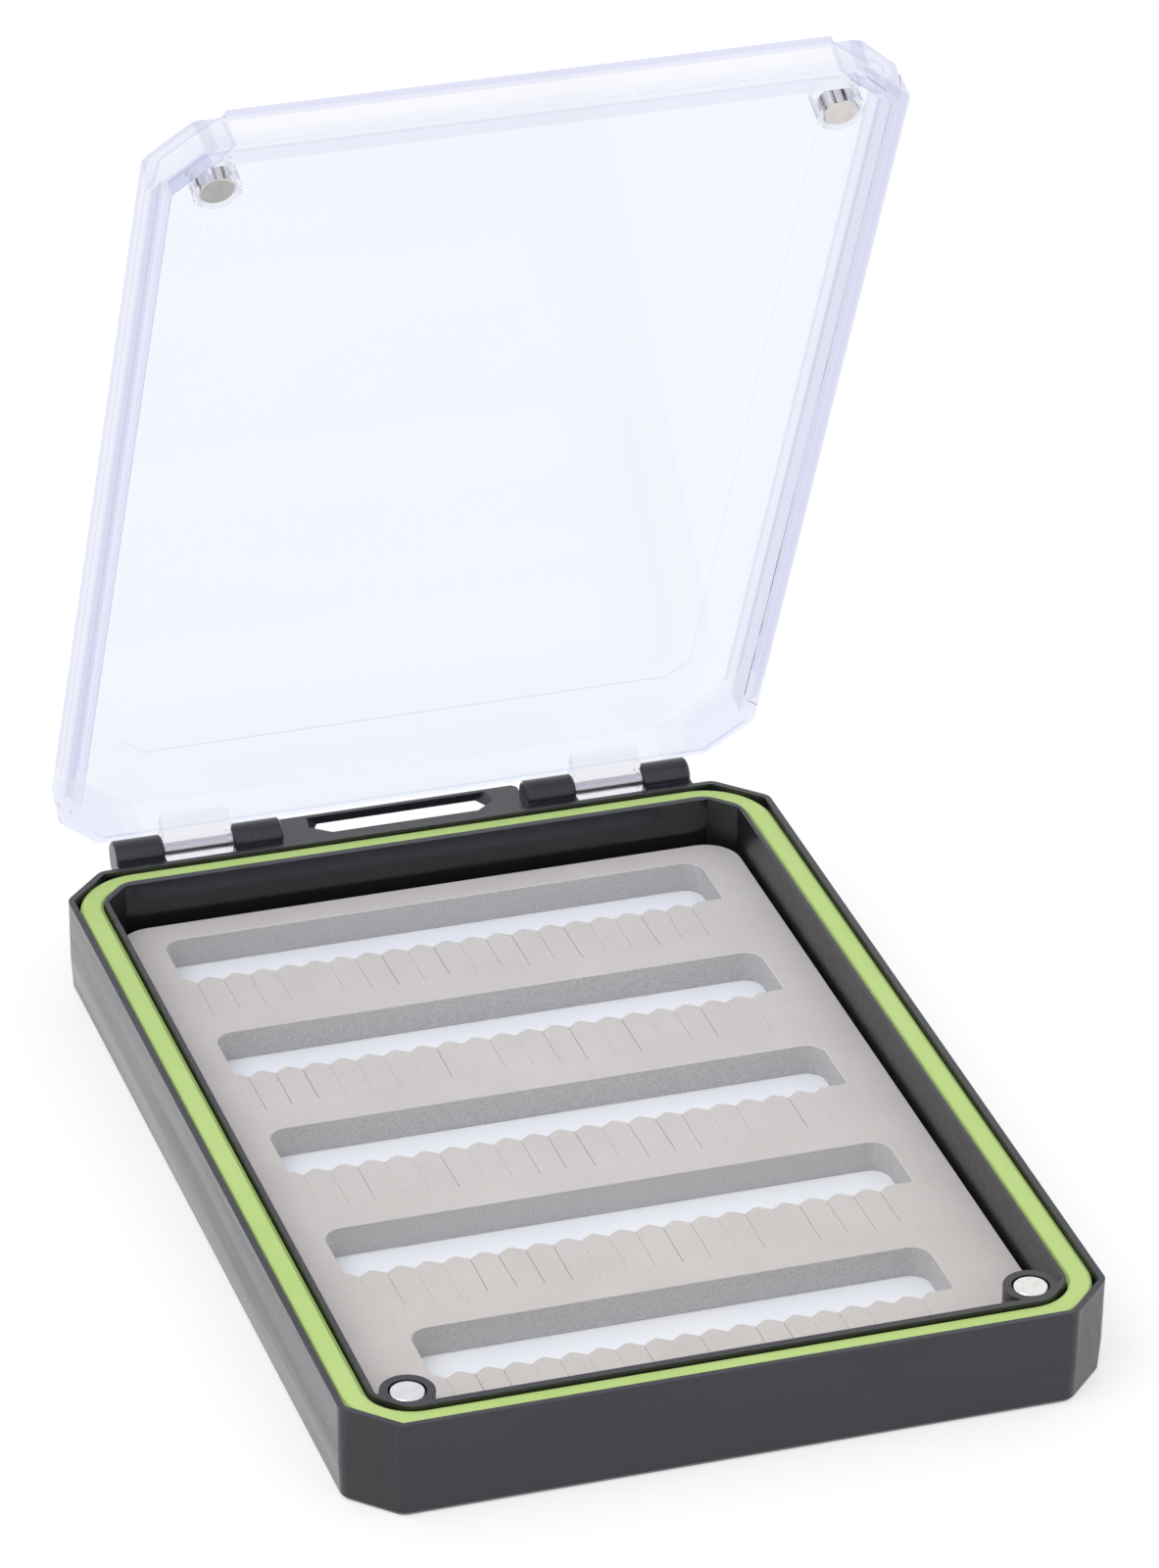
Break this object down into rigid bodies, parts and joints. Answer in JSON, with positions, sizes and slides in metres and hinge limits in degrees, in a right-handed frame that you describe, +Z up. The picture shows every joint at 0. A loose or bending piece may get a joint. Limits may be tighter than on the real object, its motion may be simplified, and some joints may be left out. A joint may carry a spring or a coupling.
{
  "type": "fly box",
  "caption": "Slim pocket box for fishing flies: dark tray with slotted foam and a seal, clear hinged lid held shut by magnets, drawn open.",
  "frame": {"origin": "middle of the tray's flat underside", "axes": "+X along the hinge, +Y towards the hinge side, +Z up; the lid is drawn open at 65.7 degrees from closed"},
  "size_m": [0.111, 0.165, 0.1649],
  "materials": {
    "tray_plastic": "satin moulded",
    "seal_rubber": "smooth matt",
    "insert_foam": "closed-cell foam, fine pores",
    "backing_plastic": "smooth",
    "magnet_nickel": "nickel plated",
    "pin_steel": "ground",
    "lid_clear_plastic": "clear polished"
  },
  "bodies": {
    "base": {"base_tray": "tray_plastic", "seal_gasket": "seal_rubber", "foam_insert": "insert_foam", "foam_backing_sheet": "backing_plastic", "base_magnet_left": "magnet_nickel", "base_magnet_right": "magnet_nickel", "hinge_pin_left": "pin_steel", "hinge_pin_right": "pin_steel"},
    "lid": {"lid_shell": "lid_clear_plastic", "lid_magnet_left": "magnet_nickel", "lid_magnet_right": "magnet_nickel"}
  },
  "joints": [
    {"name": "lid_hinge", "type": "hinge", "parent": "base", "child": "lid", "pos_m": [0, 0.08234, 0.01481], "axis": [-1, 0, 0], "range_deg": [-65.7, 93]}
  ]
}
